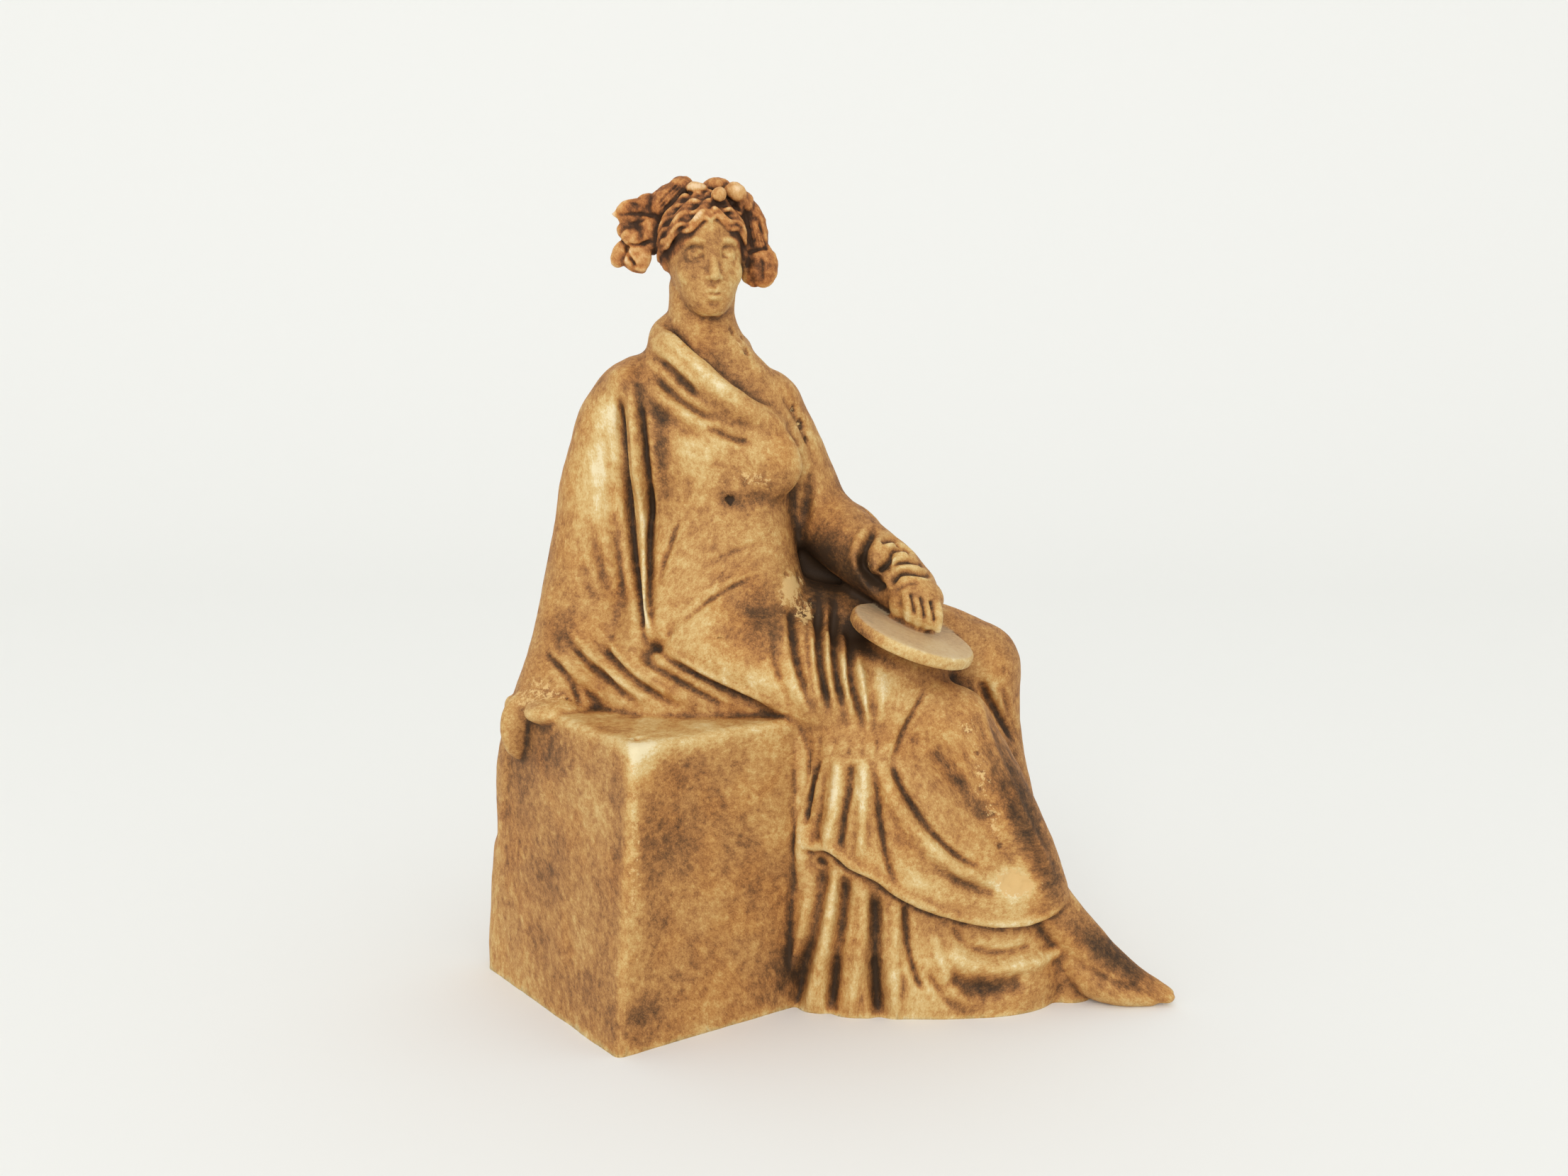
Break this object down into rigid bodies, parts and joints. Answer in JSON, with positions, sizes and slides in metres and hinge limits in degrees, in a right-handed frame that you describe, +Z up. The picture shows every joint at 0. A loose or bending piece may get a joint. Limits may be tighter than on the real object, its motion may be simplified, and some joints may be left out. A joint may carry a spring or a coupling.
{
  "type": "tanagra figurine",
  "caption": "Cast plaster figurine of a draped lady with a leaf wreath, seated on a plain block, her hand resting a flat disc on her lap.",
  "frame": {"origin": "on the flat underside, near the middle of the block that she sits on", "axes": "+Z up, +X towards her knees and pointed foot, -Y the side that her chest and face are shown from"},
  "size_m": [0.1719, 0.1007, 0.1999],
  "materials": {
    "plaster": "patinated plaster, ochre brown rubbed pale on the ridges"
  },
  "bodies": {
    "root": {"figurine": "plaster"}
  },
  "joints": []
}
